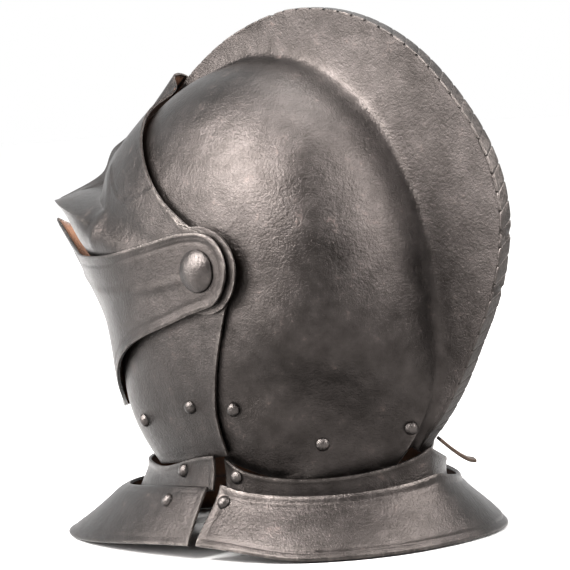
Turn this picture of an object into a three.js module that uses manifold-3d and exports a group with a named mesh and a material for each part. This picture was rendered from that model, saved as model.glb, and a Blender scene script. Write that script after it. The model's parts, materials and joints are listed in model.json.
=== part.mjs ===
// Close helmet with a high roped comb: skull, visor, upper bevor, bevor and
// four neck lames, turned on one pair of pivots at the temples.
// Millimetres, +Z up, face towards -Y, the wearer's left towards +X.
import * as THREE from "three";
import { mergeVertices } from "three/addons/utils/BufferGeometryUtils.js";
import Module from "manifold-3d";

const manifold = await Module();
manifold.setup();

// Driving sizes
const PIVOT_Z = 167.5;          // height of the pivot axis over the rim
const CENTRE_Y = 34.65;         // moves the pivot axis so that the box is centred on Y
const LIFT = 1.41;              // sets the lowest point of the rim on the ground
const PLATE = 1.6;              // thickness of the face plates
const BOWL = 1.8;               // thickness of the skull
const SKULL_HALF = 92.5;        // half widths over each layer at the pivot
const BEVOR_HALF = 95.3;
const VISOR_HALF = 98.1;
const VENTAIL_HALF = 100.9;
const EAR = 26.5;               // radius of the visor's ear round the pivot
const VENTAIL_EAR = 22.5;
const BEVOR_EAR = 22.0;
const PIN_RADIUS = 4.0;
const PIN_CLEARANCE = 0.3;
const PIVOT_HEAD = 13.0;        // radius of the domed pivot head
const RIM_ARCH = 7.5;           // rise of the collar's rim over the shoulders
const SEAT = 0.3;               // gap under a rivet head

const RAD = Math.PI / 180;

// Tables of the shape. An angle is measured at the pivot axis, from straight
// ahead (0) over the crown (90) to straight back (180). A radius is the
// distance of the midline from that axis.
const SKULL_MIDLINE = [
  { angle: 30, bowl: 137, keel: 141, slope: 40, crest: 143, thick: 0.5 },
  { angle: 40, bowl: 137, keel: 141, slope: 40, crest: 144, thick: 0.5 },
  { angle: 49, bowl: 136, keel: 140, slope: 40, crest: 144.5, thick: 0.55 },
  { angle: 62, bowl: 130, keel: 134, slope: 40, crest: 144.5, thick: 0.6 },
  { angle: 75, bowl: 124, keel: 128, slope: 40, crest: 146, thick: 0.7 },
  { angle: 90, bowl: 117, keel: 121, slope: 40, crest: 149, thick: 0.9 },
  { angle: 111, bowl: 106, keel: 110, slope: 40, crest: 150.6, thick: 0.95 },
  { angle: 143, bowl: 94, keel: 98, slope: 40, crest: 150.8, thick: 0.95 },
  { angle: 150, bowl: 93, keel: 97, slope: 40, crest: 152.5, thick: 1.0 },
  { angle: 161, bowl: 93, keel: 97, slope: 40, crest: 154, thick: 1.0 },
  { angle: 171, bowl: 94, keel: 98, slope: 40, crest: 152.5, thick: 1.0 },
  { angle: 184, bowl: 97, keel: 101, slope: 40, crest: 145, thick: 1.0 },
  { angle: 202, bowl: 106, keel: 110, slope: 10, crest: 134.5, thick: 1.0 },
  { angle: 211, bowl: 115, keel: 119, slope: 3, crest: 134, thick: 1.0 },
  { angle: 220, bowl: 128, keel: 128.5, slope: 1.6, crest: 134.5, thick: 1.0 },
  { angle: 230, bowl: 150, keel: 137.5, slope: 1.3, crest: 136, thick: 1.0 },
  { angle: 236, bowl: 165, keel: 142, slope: 1.2, crest: 138.5, thick: 1.0 },
  { angle: 240, bowl: 175, keel: 155, slope: 1.0, crest: 155, thick: 1.0 },
  { angle: 244, bowl: 182, keel: 172, slope: 0.85, crest: 172, thick: 1.0 },
  { angle: 251, bowl: 180, keel: 197, slope: 0.68, crest: 197, thick: 1.0 },
  { angle: 261, bowl: 170, keel: 250, slope: 1.0, crest: 250, thick: 1.0 },
  { angle: 277, bowl: 173, keel: 240, slope: 20, crest: 240, thick: 1.0 },
  { angle: 300, bowl: 178, keel: 240, slope: 40, crest: 240, thick: 1.0 },
];
const VISOR_MIDLINE = [
  { angle: -60, keel: 182, slope: 1.05, bowl: 206, round: 2, sharp: 1 },
  { angle: -5, keel: 182, slope: 1.05, bowl: 206, round: 2, sharp: 1 },
  { angle: 2, keel: 191, slope: 0.93, bowl: 208, round: 2, sharp: 1 },
  { angle: 5, keel: 203, slope: 0.9, bowl: 215, round: 2, sharp: 1 },
  { angle: 10, keel: 219.5, slope: 0.88, bowl: 220, round: 2, sharp: 1 },
  { angle: 13, keel: 200, slope: 1.0, bowl: 205, round: 1.8, sharp: 1 },
  { angle: 17, keel: 181, slope: 40, bowl: 162, round: 1.5, sharp: 1 },
  { angle: 23, keel: 179, slope: 40, bowl: 160, round: 1.55, sharp: 1 },
  { angle: 26, keel: 170, slope: 40, bowl: 157, round: 1.7, sharp: 1 },
  { angle: 31, keel: 163, slope: 40, bowl: 151, round: 1.9, sharp: 0.8 },
  { angle: 38, keel: 156.5, slope: 40, bowl: 145, round: 2, sharp: 0.3 },
  { angle: 48, keel: 154.5, slope: 40, bowl: 140.5, round: 2, sharp: 0.22 },
  { angle: 120, keel: 154.5, slope: 40, bowl: 140.5, round: 2, sharp: 0.22 },
];
const VENTAIL_MIDLINE = [
  { angle: -90, keel: 205, slope: 3.0 },
  { angle: -50, keel: 198, slope: 1.6 },
  { angle: -36, keel: 193, slope: 1.05 },
  { angle: -29, keel: 193.5, slope: 0.97 },
  { angle: -25, keel: 187.5, slope: 1.0 },
  { angle: -21, keel: 182, slope: 1.05 },
  { angle: -13, keel: 182.5, slope: 1.02 },
  { angle: -7, keel: 190, slope: 0.98 },
  { angle: -2, keel: 200, slope: 0.93 },
  { angle: 2, keel: 205, slope: 0.9 },
  { angle: 6.5, keel: 221, slope: 0.85 },
  { angle: 90, keel: 221, slope: 0.85 },
];
const BEVOR_MIDLINE = [
  { angle: -120, keel: 190, slope: 20, bowl: 172 },
  { angle: -83, keel: 190, slope: 20, bowl: 178 },
  { angle: -70, keel: 184, slope: 3, bowl: 178 },
  { angle: -60, keel: 182, slope: 1.9, bowl: 178 },
  { angle: -50, keel: 183, slope: 1.6, bowl: 181 },
  { angle: -41, keel: 183, slope: 1.33, bowl: 186 },
  { angle: -35, keel: 187, slope: 1.05, bowl: 193 },
  { angle: -29, keel: 184, slope: 1.0, bowl: 198 },
  { angle: -23, keel: 177, slope: 1.02, bowl: 200 },
  { angle: -13, keel: 176, slope: 1.05, bowl: 202 },
  { angle: 120, keel: 176, slope: 1.05, bowl: 202 },
];

// Rings of the collar: height, half width at the side, reach from the pivot
// axis at the midline, and how square the ring is in plan.
const REAR_UPPER_RINGS = [
  { height: 55, side: 79.5, reach: 83.5, square: 1.5 },
  { height: 50, side: 79.0, reach: 83.0, square: 1.5 },
  { height: 43, side: 78.5, reach: 83.0, square: 1.5 },
  { height: 34, side: 79.5, reach: 84.0, square: 1.55 },
];
const REAR_LOWER_RINGS = [
  { height: 40, side: 83.0, reach: 88.0, square: 1.65 },
  { height: 31, side: 86.0, reach: 89.0, square: 1.8 },
  { height: 20, side: 93.5, reach: 94.0, square: 2.05 },
  { height: 9, side: 101.5, reach: 100.0, square: 2.2 },
  { height: 3.5, side: 105.0, reach: 102.0, square: 2.25 },
  { height: 0, side: 106.0, reach: 102.5, square: 2.25 },
];
const FRONT_UPPER_RINGS = [
  { height: 45, side: 83.0, reach: 137.0, square: 1.62 },
  { height: 40, side: 82.6, reach: 137.5, square: 1.62 },
  { height: 33, side: 83.0, reach: 140.5, square: 1.7 },
  { height: 25, side: 85.0, reach: 144.0, square: 1.75 },
];
const FRONT_LOWER_RINGS = [
  { height: 29.5, side: 88.0, reach: 147.5, square: 1.85 },
  { height: 28.5, side: 90.5, reach: 153.0, square: 1.9 },
  { height: 22, side: 94.5, reach: 161.5, square: 1.95 },
  { height: 12, side: 101.0, reach: 176.0, square: 2.0 },
  { height: 3.5, side: 105.5, reach: 191.0, square: 2.0 },
  { height: 0, side: 107.0, reach: 197.5, square: 2.0 },
];

// Value of one column of a table at an angle or height, on straight lines
function look(table, key, at, column) {
  const rows = [...table].sort((a, b) => a[key] - b[key]);
  if (at <= rows[0][key]) return rows[0][column];
  for (let i = 1; i < rows.length; i += 1) {
    if (at <= rows[i][key]) {
      const part = (at - rows[i - 1][key]) / (rows[i][key] - rows[i - 1][key]);
      return rows[i - 1][column] + part * (rows[i][column] - rows[i - 1][column]);
    }
  }
  return rows[rows.length - 1][column];
}

// Point of the side view at an angle and radius about the pivot axis
function polar(angle, radius) {
  return { y: -radius * Math.cos(angle * RAD), z: PIVOT_Z + radius * Math.sin(angle * RAD) };
}

// Angle and radius of a point of the side view; angles start at `from`
function toPolar(point, from) {
  let angle = Math.atan2(point.z - PIVOT_Z, -point.y) / RAD;
  while (angle < from) angle += 360;
  while (angle >= from + 360) angle -= 360;
  return { angle, radius: Math.hypot(point.y, point.z - PIVOT_Z) };
}

// Half width of a bowl that falls from `half` at the axis to 0 at `reach`
function bowlWidth(half, radius, reach, bulge, round) {
  const part = Math.min(radius / reach, 1);
  return half * Math.max(0, 1 - part ** bulge) ** (1 / round);
}

// Half width of a bowl whose midline is drawn out to a keel at radius `keel`,
// with flanks that fall by `slope` per millimetre
function keeledWidth(half, radius, keel, slope, reach, round) {
  const bowl = bowlWidth(half, radius, reach, 2.4, round);
  const flank = slope * (keel - radius);
  if (bowl <= 0 || flank <= 0) return 0;
  return (bowl ** -8 + flank ** -8) ** (-1 / 8);
}

// Point at a share of a polyline's length
function along(line, share) {
  const steps = line.slice(1).map((p, i) => Math.hypot(p.y - line[i].y, p.z - line[i].z));
  let left = share * steps.reduce((a, b) => a + b, 0);
  for (let i = 0; i < steps.length; i += 1) {
    if (left <= steps[i] || i === steps.length - 1) {
      const part = Math.min(1, left / steps[i]);
      return {
        y: line[i].y + part * (line[i + 1].y - line[i].y),
        z: line[i].z + part * (line[i + 1].z - line[i].z),
      };
    }
    left -= steps[i];
  }
  return line[line.length - 1];
}

// Arc of a circle about the pivot axis, as a polyline
function arc(fromAngle, toAngle, radius, steps) {
  return Array.from({ length: steps + 1 }, (_, i) =>
    polar(fromAngle + ((toAngle - fromAngle) * i) / steps, radius));
}

// Patch of the side view between four edges. `bottom` and `top` run from the
// back edge to the midline, `back` and `middle` run from bottom to top.
function coons(bottom, top, back, middle, u, v) {
  const b = along(bottom, u);
  const t = along(top, u);
  const e = back(v);
  const m = middle(v);
  const b0 = along(bottom, 0);
  const b1 = along(bottom, 1);
  const t0 = along(top, 0);
  const t1 = along(top, 1);
  const blend = (key) => (1 - v) * b[key] + v * t[key] + (1 - u) * e[key] + u * m[key]
    - (1 - u) * ((1 - v) * b0[key] + v * t0[key]) - u * ((1 - v) * b1[key] + v * t1[key]);
  return { y: blend("y"), z: blend("z") };
}

// Closed plate from rows of points of its outer face. Each row runs from the
// wearer's left edge to the midline and is mirrored to the right edge.
function plate(halfRows, thickness) {
  const rows = halfRows.map((row) => {
    const mirrored = row.slice(0, -1).reverse().map((p) => new THREE.Vector3(-p.x, p.y, p.z));
    return [...row, ...mirrored];
  });
  const m = rows.length;
  const n = rows[0].length;
  const normals = rows.map((row) => row.map(() => new THREE.Vector3()));
  const addFace = (corners) => {
    const [a, b, c] = corners.map(([i, j]) => rows[i][j]);
    const face = b.clone().sub(a).cross(c.clone().sub(a));
    corners.forEach(([i, j]) => normals[i][j].add(face));
  };
  for (let i = 0; i < m - 1; i += 1) {
    for (let j = 0; j < n - 1; j += 1) {
      addFace([[i, j], [i, j + 1], [i + 1, j + 1]]);
      addFace([[i, j], [i + 1, j + 1], [i + 1, j]]);
    }
  }
  const probe = normals[Math.floor(m / 2)][1];
  const outward = Math.sign(probe.x) || 1;
  const points = [];
  const outer = [];
  const inner = [];
  rows.forEach((row, i) => {
    outer.push([]);
    inner.push([]);
    row.forEach((p, j) => {
      outer[i].push(points.length);
      points.push(p);
      const step = normals[i][j].clone().normalize().multiplyScalar(-outward * thickness);
      if (j === (n - 1) / 2) step.x = 0;
      inner[i].push(points.length);
      points.push(p.clone().add(step));
    });
  });
  const index = [];
  const quad = (a, b, c, d) => {
    if (outward > 0) index.push(a, b, c, a, c, d);
    else index.push(a, c, b, a, d, c);
  };
  for (let i = 0; i < m - 1; i += 1) {
    for (let j = 0; j < n - 1; j += 1) {
      quad(outer[i][j], outer[i][j + 1], outer[i + 1][j + 1], outer[i + 1][j]);
      quad(inner[i][j], inner[i + 1][j], inner[i + 1][j + 1], inner[i][j + 1]);
    }
    quad(outer[i][0], outer[i + 1][0], inner[i + 1][0], inner[i][0]);
    quad(outer[i][n - 1], inner[i][n - 1], inner[i + 1][n - 1], outer[i + 1][n - 1]);
  }
  for (let j = 0; j < n - 1; j += 1) {
    quad(outer[0][j], inner[0][j], inner[0][j + 1], outer[0][j + 1]);
    quad(outer[m - 1][j], outer[m - 1][j + 1], inner[m - 1][j + 1], inner[m - 1][j]);
  }
  const geometry = new THREE.BufferGeometry();
  geometry.setAttribute("position", new THREE.BufferAttribute(
    new Float32Array(points.flatMap((p) => [p.x, p.y, p.z])), 3));
  geometry.setIndex(index);
  return geometry;
}

// Solid for joining and cutting, and back
function toSolid(geometry) {
  const bare = geometry.clone();
  bare.deleteAttribute("normal");
  bare.deleteAttribute("uv");
  const merged = mergeVertices(bare, 1e-4);
  return new manifold.Manifold(new manifold.Mesh({
    numProp: 3,
    vertProperties: new Float32Array(merged.attributes.position.array),
    triVerts: new Uint32Array(merged.index.array),
  }));
}

function toGeometry(solid) {
  const mesh = solid.getMesh();
  const geometry = new THREE.BufferGeometry();
  geometry.setAttribute("position", new THREE.BufferAttribute(mesh.vertProperties, 3));
  geometry.setIndex(new THREE.BufferAttribute(mesh.triVerts, 1));
  return geometry;
}

// Plate with the two holes that the pivots pass through
function boredForPivots(geometry) {
  const bore = new THREE.CylinderGeometry(
    PIN_RADIUS + PIN_CLEARANCE, PIN_RADIUS + PIN_CLEARANCE, 2 * VENTAIL_HALF + 40, 16);
  bore.rotateZ(Math.PI / 2);
  bore.translate(0, 0, PIVOT_Z);
  return toGeometry(toSolid(geometry).subtract(toSolid(bore)));
}

const steel = (color, roughness) =>
  new THREE.MeshStandardMaterial({ color, roughness, metalness: 0.9 });
const OUTER_STEEL = { skull: 0x4a4643, plate: 0x45403d, rivet: 0x55504c };

const helmet = new THREE.Group();
helmet.position.set(0, CENTRE_Y, LIFT);

function addPiece(name, geometry, color, roughness) {
  const mesh = new THREE.Mesh(geometry, steel(color, roughness));
  mesh.name = name;
  helmet.add(mesh);
  return mesh;
}

// Skull
const COMB_STEPS = [
  { rise: 0, half: 8.5 },
  { rise: 0.13, half: 5.8 },
  { rise: 0.4, half: 4.4 },
  { rise: 0.75, half: 4.1 },
  { rise: 0.975, half: 4.7 },
  { rise: 1, half: 0 },
];
const SIDE_SWELL = { y: 52, z: 150, radius: 70, height: 5.5, clear: 26, fade: 34 };

function skullWidth(point) {
  const { angle, radius } = toPolar(point, 0);
  const row = (column) => look(SKULL_MIDLINE, "angle", angle, column);
  const far = Math.hypot(point.y - SIDE_SWELL.y, point.z - SIDE_SWELL.z) / SIDE_SWELL.radius;
  const fade = Math.min(1, Math.max(0, radius - SIDE_SWELL.clear) / SIDE_SWELL.fade) ** 2;
  const swell = far < 1 ? SIDE_SWELL.height * fade * (1 - far * far) ** 2 : 0;
  const bowl = keeledWidth(SKULL_HALF, radius, row("keel"), row("slope"), row("bowl"), 2);
  return bowl + swell * (bowl / SKULL_HALF);
}

const SKULL_FRONT_EDGE = [
  { y: -14, z: 52 },
  { y: -14, z: 115 },
  { y: -20, z: 145 },
  { y: -28, z: 168 },
  { y: -42, z: 196 },
  { y: -62, z: 224 },
];
const SKULL_FOOT = [
  { y: -14, z: 52 },
  { y: 18, z: 41 },
  { y: 45, z: 36.5 },
  { y: 62, z: 39 },
  { y: 70, z: 45 },
];
const SKULL_NAPE_ANGLE = 236;
const SKULL_BROW_ANGLE = 40;

// Radius at which the comb stands on the bowl
function combRoot(angle) {
  let radius = look(SKULL_MIDLINE, "angle", angle, "bowl");
  while (skullWidth(polar(angle, radius)) < COMB_STEPS[0].half) radius -= 0.25;
  return radius;
}

function skullRows() {
  const angleOf = (v) => SKULL_NAPE_ANGLE + (SKULL_BROW_ANGLE - SKULL_NAPE_ANGLE) * v;
  const middle = (v) => polar(angleOf(v), combRoot(angleOf(v)));
  const foot = [...SKULL_FOOT, middle(0)];
  const brow = [along(SKULL_FRONT_EDGE, 1), middle(1)];
  const rowCount = 30;
  const columnCount = 9;
  const rows = [];
  for (let i = 0; i <= rowCount; i += 1) {
    const v = i / rowCount;
    const row = [];
    for (let j = 0; j <= columnCount; j += 1) {
      const u = Math.sin((Math.PI / 2) * (j / columnCount));
      const p = coons(foot, brow, (s) => along(SKULL_FRONT_EDGE, s), middle, u, v);
      const half = j === columnCount ? COMB_STEPS[0].half : Math.max(skullWidth(p), 9);
      row.push(new THREE.Vector3(half, p.y, p.z));
    }
    const angle = angleOf(v);
    const base = combRoot(angle);
    const crest = look(SKULL_MIDLINE, "angle", angle, "crest");
    const thick = look(SKULL_MIDLINE, "angle", angle, "thick");
    COMB_STEPS.slice(1).forEach((step) => {
      const p = polar(angle, base + (crest - base) * step.rise);
      row.push(new THREE.Vector3(step.half * thick, p.y, p.z));
    });
    rows.push(row);
  }
  return rows;
}
addPiece("skull", boredForPivots(plate(skullRows(), BOWL)), OUTER_STEEL.skull, 0.45);

// Visor: a bowl over the brow that turns into a keeled prow
const VISOR_TOP = [
  ...arc(95, 62, EAR, 3),
  polar(57, 38),
  polar(51, 52),
  polar(48.5, 72),
  polar(48, 100),
  polar(48, 128),
  polar(48, 140),
];
const VISOR_FOOT = [
  ...arc(265, 325, EAR, 3),
  polar(-15, 48),
  polar(-6, 80),
  polar(-4, 120),
  polar(-5, 172),
];
const VISOR_ROW_ANGLES = [-5, 2, 6, 10, 13, 17, 20, 23, 26, 31, 38, 48];
const SIGHT = { inner: 6, outer: 44, low: 224, high: 233, near: 95, far: 200 };

// Half width of the visor's keel at a depth below its edge: a straight V where
// it is sharp, a blunt U over the comb
function keelWidth(depth, sharp) {
  return depth <= 0 ? 0 : 10 * (Math.min(depth, 17) / 17) ** sharp;
}

function visorWidth(point) {
  const { angle, radius } = toPolar(point, -90);
  const row = (column) => look(VISOR_MIDLINE, "angle", angle, column);
  const keel = row("keel");
  const blend = keeledWidth(VISOR_HALF, radius, keel, row("slope"), row("bowl"), row("round"));
  return Math.max(blend, keelWidth(keel - radius, row("sharp")));
}

function visorRows() {
  const angles = VISOR_ROW_ANGLES;
  const first = angles[0];
  const last = angles[angles.length - 1];
  const rootOf = (angle) => {
    const keel = look(VISOR_MIDLINE, "angle", angle, "keel");
    const slope = look(VISOR_MIDLINE, "angle", angle, "slope");
    const bowl = look(VISOR_MIDLINE, "angle", angle, "bowl");
    const round = look(VISOR_MIDLINE, "angle", angle, "round");
    const sharp = look(VISOR_MIDLINE, "angle", angle, "sharp");
    let radius = keel - 3;
    while (keeledWidth(VISOR_HALF, radius, keel, slope, bowl, round)
      < keelWidth(keel - radius, sharp)) radius -= 0.25;
    return radius;
  };
  const middle = (v) => {
    const angle = first + (last - first) * v;
    return polar(angle, rootOf(angle));
  };
  const back = (v) => polar(265 - 170 * v, EAR);
  const foot = [...VISOR_FOOT.slice(0, -1), middle(0)];
  const top = [...VISOR_TOP.slice(0, -1), middle(1)];
  const columnCount = 13;
  return angles.map((angle) => {
    const v = (angle - first) / (last - first);
    const row = [];
    for (let j = 0; j <= columnCount; j += 1) {
      const u = j / columnCount;
      const p = coons(foot, top, back, middle, u, v);
      row.push(new THREE.Vector3(visorWidth(p), p.y, p.z));
    }
    const keel = look(VISOR_MIDLINE, "angle", angle, "keel");
    const sharp = look(VISOR_MIDLINE, "angle", angle, "sharp");
    const depth = keel - rootOf(angle);
    [0.5, 0.17, 0].forEach((share) => {
      const tip = polar(angle, keel - depth * share);
      const half = Math.min(keelWidth(depth * share, sharp), row[row.length - 1].x);
      row.push(new THREE.Vector3(half, tip.y, tip.z));
    });
    return row;
  });
}

function sightCut() {
  const cuts = [1, -1].map((side) => {
    const width = SIGHT.outer - SIGHT.inner;
    const box = new THREE.BoxGeometry(width, SIGHT.far - SIGHT.near, SIGHT.high - SIGHT.low);
    box.translate(side * (SIGHT.inner + width / 2), -(SIGHT.far + SIGHT.near) / 2,
      (SIGHT.high + SIGHT.low) / 2);
    return toSolid(box);
  });
  return cuts[0].add(cuts[1]);
}
const visorSolid = toSolid(boredForPivots(plate(visorRows(), PLATE)));
addPiece("visor", toGeometry(visorSolid.subtract(sightCut())), OUTER_STEEL.plate, 0.42);

// Upper bevor: keeled plate that stands round the visor's foot
const VENTAIL_TOP = [
  ...arc(95, 80, VENTAIL_EAR, 2),
  { y: -13, z: 189.5 },
  { y: -45, z: 183 },
  { y: -78, z: 176.5 },
  { y: -100, z: 174.5 },
  { y: -154, z: 173.5 },
  { y: -176, z: 175 },
  { y: -200, z: 182 },
  polar(6.5, 221),
];
const VENTAIL_FOOT = [
  ...arc(265, 275, VENTAIL_EAR, 1),
  { y: -22, z: 137.5 },
  { y: -60, z: 126 },
  { y: -82, z: 115 },
  { y: -98, z: 103 },
  { y: -113, z: 91 },
  { y: -127, z: 79 },
  { y: -148, z: 75 },
  polar(-29, 194),
];
const VENTAIL_ROW_ANGLES = [-29, -25, -21, -13, -7, -2, 2, 6.5];

function ventailWidth(point) {
  const { angle, radius } = toPolar(point, -90);
  const keel = look(VENTAIL_MIDLINE, "angle", angle, "keel");
  const slope = look(VENTAIL_MIDLINE, "angle", angle, "slope");
  return keeledWidth(VENTAIL_HALF, radius, keel, slope, Math.max(keel, 210), 2);
}

function ventailRows() {
  const angles = VENTAIL_ROW_ANGLES;
  const first = angles[0];
  const last = angles[angles.length - 1];
  const middle = (v) => {
    const angle = first + (last - first) * v;
    return polar(angle, look(VENTAIL_MIDLINE, "angle", angle, "keel"));
  };
  const back = (v) => polar(265 - 170 * v, VENTAIL_EAR);
  const columnCount = 14;
  return angles.map((angle) => {
    const v = (angle - first) / (last - first);
    return Array.from({ length: columnCount + 1 }, (_, j) => {
      const p = coons(VENTAIL_FOOT, VENTAIL_TOP, back, middle, j / columnCount, v);
      return new THREE.Vector3(j === columnCount ? 0 : ventailWidth(p), p.y, p.z);
    });
  });
}
addPiece("upper_bevor", boredForPivots(plate(ventailRows(), PLATE)), OUTER_STEEL.plate, 0.42);

// Bevor: chin plate, hung on the same pivots inside the other two
const BEVOR_BACK_EDGE = [
  { y: -6, z: 57 },
  { y: -7, z: 72 },
  { y: -6, z: 84 },
  { y: -2, z: 98 },
  { y: 3, z: 115 },
  { y: 9, z: 130 },
  { y: 14, z: 145 },
  { y: 20, z: 156 },
  polar(180, BEVOR_EAR),
  polar(150, BEVOR_EAR),
  polar(120, BEVOR_EAR),
];
const BEVOR_TOP = [
  ...arc(120, 60, BEVOR_EAR, 3),
  { y: -22, z: 182 },
  { y: -45, z: 170 },
  { y: -80, z: 162 },
  { y: -130, z: 160 },
  polar(-3, 176),
];
const BEVOR_FOOT = [
  { y: -6, z: 57 },
  { y: -40, z: 52 },
  { y: -80, z: 47 },
  { y: -110, z: 42.5 },
  { y: -126, z: 41 },
];
const BEVOR_CHIN = [
  { y: -126, z: 41 },
  { y: -136, z: 50 },
  { y: -145, z: 58 },
  { y: -152, z: 67 },
  { y: -156, z: 76 },
  polar(-26, 178),
  polar(-22, 176.5),
  polar(-13, 176),
  polar(-3, 176),
];

function bevorWidth(point) {
  const { angle, radius } = toPolar(point, -120);
  const row = (column) => look(BEVOR_MIDLINE, "angle", angle, column);
  return keeledWidth(BEVOR_HALF, radius, row("keel"), row("slope"), row("bowl"), 2);
}

function bevorRows() {
  const middle = (v) => along(BEVOR_CHIN, v);
  const rowCount = 11;
  const columnCount = 12;
  const rows = [];
  for (let i = 0; i <= rowCount; i += 1) {
    const v = i / rowCount;
    rows.push(Array.from({ length: columnCount + 1 }, (_, j) => {
      const u = Math.sin((Math.PI / 2) * (j / columnCount));
      const p = coons(BEVOR_FOOT, BEVOR_TOP, (s) => along(BEVOR_BACK_EDGE, s), middle, u, v);
      const half = j === columnCount ? 0 : bevorWidth(p);
      return new THREE.Vector3(half, p.y, p.z);
    }));
  }
  return rows;
}
addPiece("bevor", boredForPivots(plate(bevorRows(), PLATE)), OUTER_STEEL.plate, 0.42);

// Neck lames: bent strips, open at the side seam. `facing` is 1 for the back
// and -1 for the front; the seam leans from `seamTop` to `seamFoot`.
function lame(name, rings, facing, seamTop, seamFoot, archLength, rise) {
  const columnCount = 12;
  const high = rings[0].height;
  const rows = rings.map((ring) => {
    const down = (high - ring.height) / high;
    const seam = seamTop + (seamFoot - seamTop) * down;
    const power = 2 / ring.square;
    const start = Math.asin((seam * facing / ring.reach) ** (1 / power)) || 0;
    const lean = seam * facing < 0
      ? -Math.asin((Math.abs(seam) / ring.reach) ** (1 / power)) : start;
    return Array.from({ length: columnCount + 1 }, (_, j) => {
      const turn = lean + (Math.PI / 2 - lean) * (j / columnCount);
      const y = facing * ring.reach * Math.sign(turn) * Math.abs(Math.sin(turn)) ** power;
      const x = ring.side * Math.max(0, Math.cos(turn)) ** power;
      const near = Math.max(0, 1 - ((y + 8) / archLength) ** 2) ** 2;
      const middle = Math.sin(Math.PI * (j / columnCount));
      return new THREE.Vector3(j === columnCount ? 0 : x, y,
        ring.height + rise(down, near, middle));
    });
  });
  addPiece(name, plate(rows, PLATE), OUTER_STEEL.plate, 0.42);
}
const REAR_SEAM = { top: -10, foot: -10 };
const FRONT_SEAM = { top: -15, foot: -16 };
lame("rear_upper_lame", REAR_UPPER_RINGS, 1, REAR_SEAM.top, REAR_SEAM.top, 75,
  (down, near, middle) => -13 * (1 - down) * middle);
lame("rear_lower_lame", REAR_LOWER_RINGS, 1, REAR_SEAM.top, REAR_SEAM.foot, 75,
  (down, near, middle) => RIM_ARCH * down * near - 7 * (1 - down) * middle);
lame("front_upper_lame", FRONT_UPPER_RINGS, -1, FRONT_SEAM.top, FRONT_SEAM.top + 1, 75,
  (down, near) => 12 * near);
lame("front_lower_lame", FRONT_LOWER_RINGS, -1, FRONT_SEAM.top, FRONT_SEAM.foot, 150,
  (down, near) => (10 + (RIM_ARCH - 10) * down) * near);

// Tab of bent plate behind the nape on the right, over the flare of the
// collar. `out` runs away from the neck, across the tab's width.
const TAB_LINE = [
  { out: 69.0, height: 53.2 },
  { out: 76.0, height: 46.5 },
  { out: 83.0, height: 41.0 },
  { out: 87.0, height: 38.9 },
  { out: 90.5, height: 38.6 },
];
const TAB = { direction: 137.5, width: 14, shift: -3, thickness: 2.2 };

function tabGeometry() {
  const side = (sign) => TAB_LINE.map((p, i) => {
    const before = TAB_LINE[Math.max(0, i - 1)];
    const after = TAB_LINE[Math.min(TAB_LINE.length - 1, i + 1)];
    const length = Math.hypot(after.out - before.out, after.height - before.height);
    return new THREE.Vector2(
      p.out - (sign * TAB.thickness * (after.height - before.height)) / (2 * length),
      p.height + (sign * TAB.thickness * (after.out - before.out)) / (2 * length));
  });
  const shape = new THREE.Shape([...side(-1), ...side(1).reverse()]);
  const geometry = new THREE.ExtrudeGeometry(shape, { depth: TAB.width, bevelEnabled: false });
  geometry.translate(0, 0, TAB.shift);
  const out = new THREE.Vector3(Math.cos(TAB.direction * RAD), Math.sin(TAB.direction * RAD), 0);
  const up = new THREE.Vector3(0, 0, 1);
  return geometry.applyMatrix4(new THREE.Matrix4().makeBasis(out, up, out.clone().cross(up)));
}
addPiece("neck_tab", tabGeometry(), OUTER_STEEL.plate, 0.6);

// Pivots: a broad domed head outside, a pin through the plates and a
// spread end inside the skull
const PIVOT_PROFILE = [
  { radius: 0, out: VENTAIL_HALF + 7.2 },
  { radius: 5, out: VENTAIL_HALF + 6.6 },
  { radius: 9, out: VENTAIL_HALF + 4.8 },
  { radius: 12, out: VENTAIL_HALF + 2.4 },
  { radius: PIVOT_HEAD, out: VENTAIL_HALF + 1.0 },
  { radius: PIVOT_HEAD, out: VENTAIL_HALF + SEAT },
  { radius: PIN_RADIUS, out: VENTAIL_HALF + SEAT },
  { radius: PIN_RADIUS, out: SKULL_HALF - BOWL - 0.5 },
  { radius: 7, out: SKULL_HALF - BOWL - 0.5 },
  { radius: 5.5, out: SKULL_HALF - BOWL - 2.6 },
  { radius: 0, out: SKULL_HALF - BOWL - 3.0 },
];

function turned(profile, segments) {
  const points = profile.map((p) => new THREE.Vector2(p.radius, p.out));
  return new THREE.LatheGeometry(points.reverse(), segments);
}

[1, -1].forEach((side) => {
  const pivot = addPiece(side > 0 ? "pivot_left" : "pivot_right",
    turned(PIVOT_PROFILE, 16), OUTER_STEEL.rivet, 0.38);
  pivot.position.z = PIVOT_Z;
  pivot.rotation.z = -side * Math.PI / 2;
});

// Rivets with domed heads. Each stands on the outer face of its plate, found
// by looking at the plate from the side or, at the midline, from the front.
const RIVET_PROFILE = [
  { radius: 0, out: 3.5 },
  { radius: 2.7, out: 2.8 },
  { radius: 4.3, out: 1.2 },
  { radius: 4.5, out: SEAT },
  { radius: 0, out: SEAT },
];
const RIVETS = [
  { name: "skull_rivet_front", on: "skull", y: 6, z: 85 },
  { name: "skull_rivet_side", on: "skull", y: 45, z: 62 },
  { name: "skull_rivet_nape", on: "skull", y: 80.5, z: 68 },
  { name: "bevor_rivet_side", on: "bevor", y: -26, z: 86 },
  { name: "bevor_rivet_cheek", on: "bevor", y: -75.5, z: 75.5 },
  { name: "front_upper_lame_rivet", on: "front_upper_lame", y: -46.5, z: 46 },
  { name: "front_lower_lame_rivet", on: "front_lower_lame", y: -46.5, z: 30.5 },
  { name: "rear_upper_lame_rivet", on: "rear_upper_lame", y: 0.5, z: 44.5 },
  { name: "rear_lower_lame_rivet", on: "rear_lower_lame", y: -3, z: 30.5 },
];
const RIVET_RADIUS = 4.5;
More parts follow.
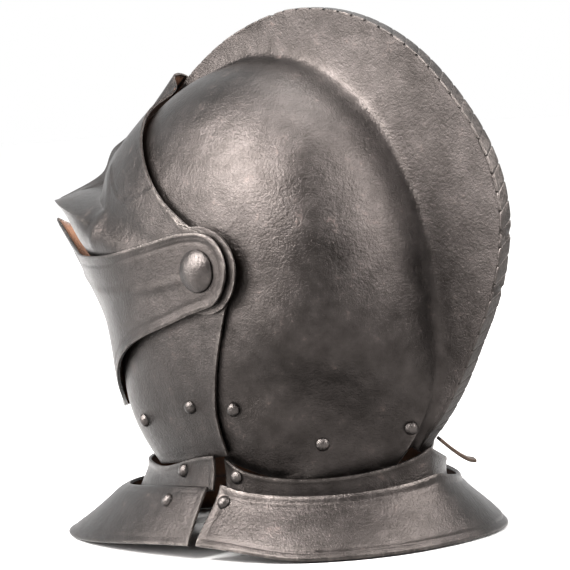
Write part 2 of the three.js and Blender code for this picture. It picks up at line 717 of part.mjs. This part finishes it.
const SEAT_SAMPLES = 10;

// Where a rivet stands: a point on the plate, the mean direction of the
// faces under the head, and the height that clears the highest of them
function seat(name, origin, direction) {
  const piece = new THREE.Mesh(helmet.getObjectByName(name).geometry,
    new THREE.MeshBasicMaterial({ side: THREE.DoubleSide }));
  const cast = (from, way) => new THREE.Raycaster(from, way).intersectObject(piece)[0];
  const first = cast(origin, direction);
  const normal = first.face.normal.clone();
  const ring = (radius) => {
    const across = new THREE.Vector3(0, 0, 1).cross(normal).normalize();
    const up = normal.clone().cross(across).normalize();
    return Array.from({ length: SEAT_SAMPLES }, (_, i) => {
      const turn = (2 * Math.PI * i) / SEAT_SAMPLES;
      const from = first.point.clone().addScaledVector(normal, 8)
        .addScaledVector(across, radius * Math.cos(turn))
        .addScaledVector(up, radius * Math.sin(turn));
      return cast(from, normal.clone().negate());
    }).filter((hit) => hit !== undefined && hit.distance < 16);
  };
  const mean = ring(RIVET_RADIUS * 0.7).reduce((sum, hit) => sum.add(hit.face.normal),
    normal.clone()).normalize();
  normal.copy(mean);
  const heights = [RIVET_RADIUS, RIVET_RADIUS * 0.5].flatMap((radius) =>
    ring(radius).map((hit) => hit.point.clone().sub(first.point).dot(normal)));
  return { point: first.point, normal, lift: Math.max(0, ...heights) };
}

function rivet(name, place) {
  const mesh = addPiece(name, turned(RIVET_PROFILE, 10), OUTER_STEEL.rivet, 0.38);
  mesh.quaternion.setFromUnitVectors(new THREE.Vector3(0, 1, 0), place.normal);
  mesh.position.copy(place.point).addScaledVector(place.normal, place.lift);
}

RIVETS.forEach((spec) => {
  [1, -1].forEach((side) => {
    const from = new THREE.Vector3(side * 200, spec.y, spec.z);
    rivet(spec.name + (side > 0 ? "_left" : "_right"),
      seat(spec.on, from, new THREE.Vector3(-side, 0, 0)));
  });
});
const CHIN_RIVET_Z = 71;
const chinPlace = seat("bevor", new THREE.Vector3(0.01, -300, CHIN_RIVET_Z),
  new THREE.Vector3(0, 1, 0));
chinPlace.point.x = 0;
chinPlace.normal.x = 0;
chinPlace.normal.normalize();
rivet("bevor_rivet_chin", chinPlace);

export default helmet;
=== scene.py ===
import json
import math
import bpy
import numpy as np
from mathutils import Matrix
from mathutils import Vector
from mathutils import noise
from mathutils.kdtree import KDTree

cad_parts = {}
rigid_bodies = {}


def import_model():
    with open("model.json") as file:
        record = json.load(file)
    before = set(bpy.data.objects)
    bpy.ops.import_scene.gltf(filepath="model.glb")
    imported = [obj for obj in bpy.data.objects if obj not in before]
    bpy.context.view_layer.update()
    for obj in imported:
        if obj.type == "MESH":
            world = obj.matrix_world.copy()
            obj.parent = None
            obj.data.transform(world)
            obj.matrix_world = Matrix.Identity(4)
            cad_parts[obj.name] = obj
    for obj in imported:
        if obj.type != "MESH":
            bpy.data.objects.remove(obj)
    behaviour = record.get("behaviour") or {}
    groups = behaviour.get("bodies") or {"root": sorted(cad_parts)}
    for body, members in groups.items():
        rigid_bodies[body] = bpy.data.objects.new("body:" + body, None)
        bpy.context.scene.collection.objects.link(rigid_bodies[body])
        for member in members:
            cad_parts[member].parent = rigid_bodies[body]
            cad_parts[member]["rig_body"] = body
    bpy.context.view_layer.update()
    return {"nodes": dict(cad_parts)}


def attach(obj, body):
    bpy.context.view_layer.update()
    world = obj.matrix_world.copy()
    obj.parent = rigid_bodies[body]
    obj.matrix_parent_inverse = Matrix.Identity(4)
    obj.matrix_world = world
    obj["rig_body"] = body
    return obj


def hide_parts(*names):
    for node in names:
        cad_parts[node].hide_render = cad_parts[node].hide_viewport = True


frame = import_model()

# Skull: the bowl and its high comb, raised from one plate of steel with the hammer.
# It is patinated to a dark grey-brown, finely pitted outside and rusty inside, and
# its edges are filed round.
PIVOT = Vector((0.0, 0.03465, 0.16891))
MM = 0.001


class Wire:
    """A socket of a finish, on which arithmetic adds Math nodes."""

    def __init__(self, finish, socket):
        self.finish = finish
        self.socket = socket

    def worked(self, operation, first, second):
        return self.finish.node("ShaderNodeMath", {"operation": operation}, {0: first, 1: second})

    def __add__(self, other):
        return self.worked("ADD", self, other)

    def __radd__(self, other):
        return self.worked("ADD", other, self)

    def __sub__(self, other):
        return self.worked("SUBTRACT", self, other)

    def __rsub__(self, other):
        return self.worked("SUBTRACT", other, self)

    def __mul__(self, other):
        return self.worked("MULTIPLY", self, other)

    def __rmul__(self, other):
        return self.worked("MULTIPLY", other, self)


class Finish:
    """A procedural finish, whose nodes all come from one method."""

    def __init__(self, name):
        self.material = bpy.data.materials.new(name)
        self.material.use_nodes = True
        self.tree = self.material.node_tree
        self.shader = self.tree.nodes["Principled BSDF"]

    def feed(self, socket, value):
        if isinstance(value, Wire):
            self.tree.links.new(value.socket, socket)
        else:
            socket.default_value = value

    def node(self, kind, settings, sockets, output=0):
        made = self.tree.nodes.new(kind)
        for key, value in settings.items():
            setattr(made, key, value)
        for key, value in sockets.items():
            self.feed(made.inputs[key], value)
        return Wire(self, made.outputs[output])

    def between(self, amount, low, high):
        """0 below low, 1 above high, and smooth between them."""
        return self.node("ShaderNodeMapRange", {"interpolation_type": "SMOOTHSTEP"},
                         {"Value": amount, "From Min": low, "From Max": high})

    def blended(self, amount, first, second):
        return self.node("ShaderNodeMix", {"data_type": "RGBA"}, {0: amount, 6: first, 7: second}, 2)

    def cloud(self, place, size, detail, grain=0.5):
        """Noise whose patches are about `size` metres across."""
        return self.node("ShaderNodeTexNoise", {},
                         {"Vector": place, "Scale": 1 / size, "Detail": detail, "Roughness": grain})


BROAD_PATCH = 0.055
DENT_PATCH = 0.012
MOTTLE_PATCH = 0.011
SPECK_PATCH = 0.0022
PIT_PATCH = 0.0011
RUBBED_METAL = (0.17, 0.152, 0.14, 1)
PIT_DIRT = (0.008, 0.0065, 0.006, 1)
DARK_CRUST = (0.055, 0.023, 0.011, 1)
PALE_CRUST = (0.13, 0.056, 0.025, 1)
CRUST_ROUGHNESS = 0.85
RELIEF_STRENGTH = 0.75
RELIEF_HEIGHT = 0.0016


def patinated_steel(name, dark, light, rust, rough, shine):
    """Dark hammered plate: `outer` is 0 on the lining side, `rim` 1 along a plate's edge."""
    finish = Finish(name)
    place = finish.node("ShaderNodeTexCoord", {}, {}, "Object")
    outer = finish.node("ShaderNodeAttribute", {"attribute_name": "outer"}, {}, "Fac")
    rim = finish.node("ShaderNodeAttribute", {"attribute_name": "rim"}, {}, "Fac")
    broad = finish.cloud(place, BROAD_PATCH, 3)
    mottle = finish.cloud(place, MOTTLE_PATCH, 5, 0.62)
    speck = finish.cloud(place, SPECK_PATCH, 4, 0.7)
    pits = finish.cloud(place, PIT_PATCH, 3, 0.6)
    tone = finish.between(broad * 0.4 + mottle * 0.6, 0.28, 0.74)
    colour = finish.blended(tone, dark, light)
    bloom = finish.between(mottle * 0.6 + speck * 0.4, 0.57, 0.72)
    colour = finish.blended(bloom * 0.4, colour, rust)
    worn = rim * finish.between(speck + mottle * 0.5, 0.55, 0.95)
    colour = finish.blended(worn * 0.3, colour, RUBBED_METAL)
    pitted = finish.between(pits, 0.62, 0.74)
    colour = finish.blended(pitted * 0.6, colour, PIT_DIRT)
    crust = finish.blended(tone, DARK_CRUST, PALE_CRUST)
    finish.feed(finish.shader.inputs["Base Color"], finish.blended(outer, crust, colour))
    finish.feed(finish.shader.inputs["Metallic"], outer * (shine - bloom * 0.45))
    roughness = rough + mottle * 0.16 + pitted * 0.2 + bloom * 0.12 - worn * 0.08
    finish.feed(finish.shader.inputs["Roughness"],
                CRUST_ROUGHNESS - outer * (CRUST_ROUGHNESS - roughness))
    height = finish.cloud(place, DENT_PATCH, 2) * 0.3 + speck * 0.3 + pits * 0.12 - pitted * 0.12
    bump = finish.node("ShaderNodeBump", {},
                       {"Strength": RELIEF_STRENGTH, "Distance": RELIEF_HEIGHT, "Height": height})
    finish.feed(finish.shader.inputs["Normal"], bump)
    return finish.material


plate_steel = patinated_steel("patinated_plate", dark=(0.0145, 0.0125, 0.0115, 1),
                              light=(0.034, 0.0298, 0.0282, 1), rust=(0.045, 0.022, 0.0135, 1),
                              rough=0.25, shine=0.97)


def only(piece):
    """Select this piece alone."""
    bpy.ops.object.select_all(action="DESELECT")
    piece.select_set(True)
    bpy.context.view_layer.objects.active = piece


def applied(piece, kind, **settings):
    """Add a modifier with these settings, and make it part of the mesh."""
    only(piece)
    bpy.ops.object.modifier_add(type=kind)
    modifier = piece.modifiers[-1]
    for key, value in settings.items():
        setattr(modifier, key, value)
    bpy.ops.object.modifier_apply(modifier=modifier.name)


SAME_POINT = 0.01
FLAT_PAIR = math.radians(35)
SQUARE_PAIR = math.radians(60)
SHARP_EDGE = math.radians(48)


def merged_copy(node, name):
    """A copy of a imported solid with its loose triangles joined, paired, and creased where sharp."""
    piece = bpy.data.objects.new(name, frame["nodes"][node].data.copy())
    bpy.context.scene.collection.objects.link(piece)
    only(piece)
    bpy.ops.mesh.customdata_custom_splitnormals_clear()
    bpy.ops.object.mode_set(mode="EDIT")
    bpy.ops.mesh.select_mode(type="EDGE")
    bpy.ops.mesh.select_all(action="SELECT")
    bpy.ops.mesh.remove_doubles(threshold=SAME_POINT * MM)
    bpy.ops.mesh.tris_convert_to_quads(face_threshold=FLAT_PAIR, shape_threshold=SQUARE_PAIR)
    bpy.ops.mesh.select_all(action="DESELECT")
    bpy.ops.mesh.edges_select_sharp(sharpness=SHARP_EDGE)
    bpy.ops.transform.edge_crease(value=1.0)
    bpy.ops.object.mode_set(mode="OBJECT")
    return piece


def points_of(piece):
    read = np.zeros(len(piece.data.vertices) * 3)
    piece.data.vertices.foreach_get("co", read)
    return read.reshape(-1, 3)


def normals_of(piece):
    read = np.zeros(len(piece.data.vertices) * 3, np.float32)
    piece.data.vertex_normals.foreach_get("vector", read)
    return read.reshape(-1, 3).astype(float)


def moved(piece, places):
    piece.data.vertices.foreach_set("co", places.astype(np.float32).ravel())
    piece.data.update()


def painted(piece, name, values):
    """Keep a mask on the piece's points: one value for all of them, or one for each."""
    layer = piece.data.attributes.new(name, "FLOAT", "POINT")
    spread = np.zeros(len(piece.data.vertices)) + values
    layer.data.foreach_set("value", spread.astype(np.float32))


def surfaced(piece, steel, outer, rim, smooth_to):
    """Give the piece its masks and its steel, and shade it smooth up to an angle in degrees."""
    painted(piece, "outer", outer)
    painted(piece, "rim", rim)
    piece.data.materials.clear()
    piece.data.materials.append(steel)
    only(piece)
    bpy.ops.object.shade_smooth_by_angle(angle=math.radians(smooth_to))


KEEL_BAND = 0.5
COMB_BAND = 12
COMB_FACE = 5
COMB_CREASE = 0.8
BORDER_STEP = 0.6


def border_of(piece, keel_crease):
    """Points along the plate's edges. The folds of its keel and of the comb are eased on the way."""
    places = points_of(piece)
    crease = piece.data.attributes["crease_edge"].data
    found = []
    for edge, fold in zip(piece.data.edges, crease):
        a, b = (places[k] for k in edge.vertices)
        length = np.linalg.norm(b - a)
        if fold.value == 0:
            continue
        if abs(a[0]) < KEEL_BAND * MM and abs(b[0]) < KEEL_BAND * MM:
            fold.value = keel_crease
            continue
        on_comb = piece.name == "skull_plate" and abs(a[0]) < COMB_BAND * MM
        if on_comb and abs(b[0] - a[0]) < 0.4 * length:
            fold.value = COMB_CREASE if abs(a[0]) < COMB_FACE * MM else 0
            continue
        steps = max(2, int(length / (BORDER_STEP * MM)))
        found += [a + (b - a) * k / steps for k in range(steps)]
    tree = KDTree(len(found))
    for k, p in enumerate(found):
        tree.insert(p, k)
    tree.balance()
    return tree


MIDDLE_BAND = 2
TURNING_BAND = 0.3


def outside(places, normals):
    """1 on the side of a plate that faces out, 0 on its lining side."""
    away = places - np.array(PIVOT)
    reach = np.hypot(away[:, 1], away[:, 2])
    radial = normals[:, 1] * away[:, 1] + normals[:, 2] * np.maximum(away[:, 2], 0)
    beside = np.clip(np.abs(places[:, 0]) / (MIDDLE_BAND * MM), 0, 1)
    lateral = normals[:, 0] * np.sign(places[:, 0]) * beside
    return np.clip(0.5 + (lateral + radial / reach) / TURNING_BAND, 0, 1)


CORNER_CUTS = 3


def from_line(places, line):
    """How far each point lies from a line of points given in mm, the same on both sides.
    The line's corners are cut off a few times, which rounds it."""
    folded = places * np.array([0, 1, 1]) / MM
    folded[:, 0] = np.abs(places[:, 0]) / MM
    nearest = np.full(len(places), 1e9)
    bent = np.array(line, float)
    for _ in range(CORNER_CUTS):
        corners = np.stack([bent[:-1] * 0.75 + bent[1:] * 0.25, bent[:-1] * 0.25 + bent[1:] * 0.75], 1)
        bent = np.concatenate([bent[:1], corners.reshape(-1, 3), bent[-1:]])
    for a, b in zip(bent[:-1], bent[1:]):
        share = np.clip(((folded - a) @ (b - a)) / ((b - a) @ (b - a)), 0, 1)
        nearest = np.minimum(nearest, np.linalg.norm(folded - a - share[:, None] * (b - a), axis=1))
    return nearest


def bell(distance, wide):
    """1 at no distance, and falling smoothly to nothing past `wide`."""
    return np.exp(-((distance / wide) ** 2))


RIM_RIDGE_AT = 1.3
RIM_RIDGE_WIDE = 1.2
GROOVE_WIDE = 0.9
RIM_WEAR_WIDE = 1.1
EDGE_THICK = 1.3
BLOW_SIZE = 21
UNHAMMERED = 6
PLATE_SMOOTH = 50


def plate(node, body, levels, turned=0.0, groove=0.0, groove_at=4.8, keel_crease=0.6, hammer=0.22, lines=()):
    """The finished plate: `turned` mm of raised edge, `groove` mm of sunk line behind the rim,
    `hammer` mm of uneven surface, and `lines` of chased work, each with points, height and width."""
    piece = merged_copy(node, node + "_plate")
    border = border_of(piece, keel_crease)
    applied(piece, "SUBSURF", levels=levels, render_levels=levels)
    places = points_of(piece)
    normals = normals_of(piece)
    outer = outside(places, normals)
    gap = np.array([border.find(p)[2] for p in places]) / MM
    raised = turned * bell(gap - RIM_RIDGE_AT, RIM_RIDGE_WIDE)
    raised -= groove * bell(gap - groove_at, GROOVE_WIDE)
    for line in lines:
        raised += line["high"] * bell(from_line(places, line["points"]), line["wide"])
    blows = np.array([noise.noise(Vector(p) / (BLOW_SIZE * MM)) for p in places])
    raised += hammer * blows * np.clip(gap / UNHAMMERED, 0, 1)
    moved(piece, places + normals * (outer * raised)[:, None] * MM)
    edge_on = np.exp(-((gap / EDGE_THICK) ** 4))
    surfaced(piece, plate_steel, np.maximum(outer, edge_on), bell(gap, RIM_WEAR_WIDE), PLATE_SMOOTH)
    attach(piece, body)
    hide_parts(node)
    return piece


skull = plate("skull", "skull", 2, hammer=0.3)

# Planishing of the bowl's foot: on each side, behind the bevor, the steel has a small
# fold, which is worked flat from both faces with a smooth hammer.
FOLD_LOW = 40
FOLD_HIGH = 57
FOLD_INNER = 40
FOLD_OUTER = 78
FOLD_TILT = 0.05

foot = points_of(skull)
facing = normals_of(skull)
sideways = np.abs(foot[:, 0])
folded = (foot[:, 2] > FOLD_LOW * MM) & (foot[:, 2] < FOLD_HIGH * MM)
folded &= (sideways > FOLD_INNER * MM) & (sideways < FOLD_OUTER * MM)
folded &= np.abs(facing[:, 2]) > FOLD_TILT
folded &= facing[:, 2] * facing[:, 0] * foot[:, 0] > 0
only(skull)
bpy.ops.object.mode_set(mode="EDIT")
bpy.ops.mesh.select_mode(type="VERT")
bpy.ops.mesh.select_all(action="DESELECT")
bpy.ops.object.mode_set(mode="OBJECT")
skull.data.vertices.foreach_set("select", folded)
bpy.ops.object.mode_set(mode="EDIT")
bpy.ops.mesh.select_more()
bpy.ops.mesh.select_more()
bpy.ops.mesh.vertices_smooth(factor=0.5, repeat=14)
bpy.ops.object.mode_set(mode="OBJECT")

# Roping of the comb: the steel of the crest is filed into slanted turns, like a cord
# laid along it. The turns are worn nearly flat and rubbed a little brighter.
ROPE_PITCH = 11.0
ROPE_SLANT = 0.8
ROPE_HALF_WIDTHS = {36: 2.2, 62: 2.7, 90: 4.0, 143: 4.35, 236: 4.5}
TURN_HEIGHT = 0.9
TURN_SUNK = 0.5
ROPE_WEAR = 0.35
CREST_BAND = 0.05
CREST_STEPS = 900

solid = points_of(skull)
middle = solid[np.abs(solid[:, 0]) < CREST_BAND * MM]
turn = np.degrees(np.arctan2(middle[:, 2] - PIVOT.z, -(middle[:, 1] - PIVOT.y)))
turn = np.where(turn < -90, turn + 360, turn)
reach = np.hypot(middle[:, 1] - PIVOT.y, middle[:, 2] - PIVOT.z)
ridge = {}
for angle, radius in zip(np.round(turn, 0), reach):
    ridge[angle] = max(radius, ridge.get(angle, 0))
angles = np.array(sorted(ridge))
radii = np.array([ridge[a] for a in angles])
fine = np.linspace(angles[0], angles[-1], CREST_STEPS)
fine_radius = np.interp(fine, angles, radii)
half_width = np.interp(fine, list(ROPE_HALF_WIDTHS), list(ROPE_HALF_WIDTHS.values()))
crest = np.stack([0 * fine, PIVOT.y - np.cos(np.radians(fine)) * fine_radius,
                  PIVOT.z + np.sin(np.radians(fine)) * fine_radius], 1)
run = np.concatenate([[0], np.cumsum(np.linalg.norm(np.diff(crest, axis=0), axis=1))])
along = np.gradient(crest, axis=0)
along /= np.linalg.norm(along, axis=1)[:, None]
up_from = np.cross(along, [1.0, 0, 0])
up_from *= np.sign((up_from * (crest - np.array(PIVOT))).sum(1))[:, None]

bpy.ops.object.select_all(action="DESELECT")
bpy.ops.mesh.primitive_cube_add(size=2)
strand = bpy.context.object
bpy.ops.object.mode_set(mode="EDIT")
bpy.ops.mesh.select_all(action="SELECT")
bpy.ops.mesh.bevel(offset=0.3, segments=4, affect="EDGES")
bpy.ops.mesh.subdivide(number_cuts=2)
bpy.ops.object.mode_set(mode="OBJECT")
shape = points_of(strand)
turns = []
for k in range(1, int(run[-1] / (ROPE_PITCH * MM))):
    copy = bpy.data.objects.new("strand", strand.data.copy())
    bpy.context.scene.collection.objects.link(copy)
    start = k * ROPE_PITCH * MM
    aside = shape[:, 0] * np.interp(start, run, half_width) * MM
    way = start + shape[:, 1] * 0.5 * ROPE_PITCH * MM + aside * ROPE_SLANT
    way = np.clip(way, run[0], run[-1])
    at = np.stack([np.interp(way, run, crest[:, axis]) for axis in range(3)], 1)
    out = np.stack([np.interp(way, run, up_from[:, axis]) for axis in range(3)], 1)
    at[:, 0] += aside
    moved(copy, at + out * (shape[:, 2] * TURN_HEIGHT - TURN_SUNK)[:, None] * MM)
    turns.append(copy)
bpy.data.objects.remove(strand)
only(turns[0])
for copy in turns:
    copy.select_set(True)
bpy.ops.object.join()
roping = bpy.context.object
roping.name = "comb_roping"
surfaced(roping, plate_steel, 1, ROPE_WEAR, PLATE_SMOOTH)
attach(roping, "skull")

# Neck lames behind: two curved steel plates riveted below the skull's foot, the lower
# one flared over the shoulders, with its rim turned and a line sunk behind it.
plate("rear_upper_lame", "skull", 3, turned=0.3)
plate("rear_lower_lame", "skull", 3, turned=0.55, groove=0.5)

# Bevor: the steel chin plate, keeled in front, with ears at the pivots. Its rear edge
# lies over the skull, and the two front lames are riveted below its foot.
plate("bevor", "bevor", 3, turned=0.3, keel_crease=0.5)
plate("front_upper_lame", "bevor", 3, turned=0.35)
plate("front_lower_lame", "bevor", 3, turned=0.3, groove=0.2)

# Upper bevor: the pointed steel plate between chin and visor, with a raised edge, a
# fine sunk line that follows it round the ears, and a soft crease along the cheek.
CHEEK_CREASE = {"high": 0.7, "wide": 2.6, "points": [
    (39, -121, 161), (80, -68, 154.6), (91.6, -43, 155), (99, -6, 158), (100.5, 18, 163)]}
plate("upper_bevor", "upper_bevor", 3, turned=0.55, groove=0.5, groove_at=5.4, lines=[CHEEK_CREASE])

# Visor: a steel bowl over the brow that ends in a sharp prow, with two sight slots. A
# crease with a sunk line above it follows the brow, a soft ridge runs down the cheek,
# and the edges are left plain and thin.
BROW_CREASE = [(60, -72, 233), (63, -68, 228.5), (78, -52, 213), (86, -35, 207.5), (88.7, -23, 210.8),
               (89.5, -7, 217)]
BROW_SHADE = [(x * 1.01, y, z + 2.2) for x, y, z in BROW_CREASE]
CHEEK_RIDGE = [(63, -72, 226), (69, -64.7, 220), (76, -68, 206), (83, -63, 195), (85.4, -67, 185)]
plate("visor", "visor", 3, turned=0.12, keel_crease=0.7,
      lines=[{"high": 0.4, "wide": 1.5, "points": BROW_CREASE},
             {"high": -0.35, "wide": 1.6, "points": BROW_SHADE},
             {"high": 1.0, "wide": 6, "points": CHEEK_RIDGE}])

# Rivets: domed iron heads that hold the lining straps and the lames, rubbed a
# little brighter than the plates. The pivot bolts have the same heads, only larger.
HEAD_WEAR = 0.25
FITTING_SMOOTH = 45

rivet_steel = patinated_steel("rubbed_rivet", dark=(0.022, 0.0195, 0.0185, 1),
                              light=(0.05, 0.0445, 0.0425, 1), rust=(0.05, 0.026, 0.017, 1),
                              rough=0.23, shine=0.97)
domes = [n for n in sorted(frame["nodes"]) if "_rivet_" in n or n.startswith("pivot_")]
for node in domes:
    dome = merged_copy(node, node + "_head")
    applied(dome, "SUBSURF", levels=2, render_levels=2)
    surfaced(dome, rivet_steel, 1, HEAD_WEAR, FITTING_SMOOTH)
    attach(dome, frame["nodes"][node]["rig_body"])
    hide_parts(node)

# Tab: a bent strip of rusted plate that stands out behind the nape on the right,
# over the flare of the lower lame.
STRIP_ROUNDING = 0.5
STRIP_WEAR = 0.15

tab_steel = patinated_steel("rusted_strip", dark=(0.022, 0.014, 0.01, 1),
                            light=(0.06, 0.036, 0.022, 1), rust=(0.11, 0.05, 0.022, 1),
                            rough=0.45, shine=0.5)
tab = merged_copy("neck_tab", "neck_tab_strip")
applied(tab, "BEVEL", width=STRIP_ROUNDING * MM, segments=3, limit_method="ANGLE")
applied(tab, "SUBSURF", levels=2, render_levels=2)
surfaced(tab, tab_steel, 1, STRIP_WEAR, FITTING_SMOOTH)
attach(tab, "skull")
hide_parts("neck_tab")

# Floor: one flat sheet of pale paper under the helmet, which turns to plain white
# further out, so that it runs into the pale room without a line.
SHEET_SIZE = 16
PAPER_GRAIN = 0.4
WHITE_FROM = 0.6
WHITE_PAST = 2.0
PAPER_LIGHT = (0.27, 0.27, 0.27, 1)
PAPER_DARK = (0.255, 0.255, 0.253, 1)
WHITE = (1, 1, 1, 1)

paper = Finish("pale_paper")
spot = paper.node("ShaderNodeTexCoord", {}, {}, "Object")
grain = paper.cloud(spot, PAPER_GRAIN, 2)
far_off = paper.node("ShaderNodeVectorMath", {"operation": "LENGTH"}, {0: spot}, "Value")
near_paper = paper.blended(grain * 0.3, PAPER_LIGHT, PAPER_DARK)
paper.feed(paper.shader.inputs["Base Color"],
           paper.blended(paper.between(far_off, WHITE_FROM, WHITE_PAST), near_paper, WHITE))
paper.feed(paper.shader.inputs["Roughness"], 0.85)
bpy.ops.object.select_all(action="DESELECT")
bpy.ops.mesh.primitive_plane_add(size=SHEET_SIZE)
sheet = bpy.context.object
sheet.name = "paper_sheet"
sheet.data.materials.append(paper.material)

# Light: four soft square lamps, the strongest high on the camera's left, the others
# further left, on the right and overhead, in an even white room.
AZIMUTH = math.radians(132.5)
ELEVATION = math.radians(4)
ROLL = math.radians(3.5)
HELMET_MIDDLE = Vector((0, 0, 0.16))
LAMP_COLOUR = (1.0, 0.972, 0.955)

back = Vector((math.sin(AZIMUTH) * math.cos(ELEVATION), -math.cos(AZIMUTH) * math.cos(ELEVATION),
               math.sin(ELEVATION)))
level = Vector((math.cos(AZIMUTH), math.sin(AZIMUTH), 0))
upright = back.cross(level)


def lamp(name, left, high, near, side, power):
    """An area lamp placed by how far left, high and near the camera it hangs."""
    place = HELMET_MIDDLE - level * left + upright * high + back * near
    bpy.ops.object.light_add(type="AREA", location=place)
    made = bpy.context.object
    made.name = name
    made.data.size = side
    made.data.energy = power
    made.data.color = LAMP_COLOUR
    made.rotation_euler = (place - HELMET_MIDDLE).to_track_quat("Z", "Y").to_euler()


lamp("soft_key", left=0.84, high=1.0, near=0.65, side=0.7, power=145)
lamp("soft_left", left=1.5, high=0.4, near=0.35, side=0.8, power=66)
lamp("soft_right", left=-1.15, high=0.75, near=0.5, side=0.8, power=80)
lamp("soft_top", left=-0.2, high=1.5, near=0.0, side=1.0, power=60)
room = bpy.data.worlds.new("pale_room")
room.use_nodes = True
room.node_tree.nodes["Background"].inputs["Color"].default_value = WHITE
room.node_tree.nodes["Background"].inputs["Strength"].default_value = 1.0
bpy.context.scene.world = room
bpy.context.scene.view_settings.view_transform = "Standard"

# Camera: the photograph's place, behind and to the left of the wearer, a little
# above the floor, and turned slightly about its own line of sight.
STAND = (1.4837, 1.37025, 0.29231)
SENSOR = 36.0
FOCAL_PIXELS = 3333.3
PICTURE = 570

bpy.ops.object.camera_add(location=STAND)
camera = bpy.context.object
right = level * math.cos(ROLL) - upright * math.sin(ROLL)
top = level * math.sin(ROLL) + upright * math.cos(ROLL)
camera.rotation_euler = Matrix((right, top, back)).transposed().to_euler()
camera.data.sensor_width = SENSOR
camera.data.lens = SENSOR * FOCAL_PIXELS / PICTURE
bpy.context.scene.camera = camera
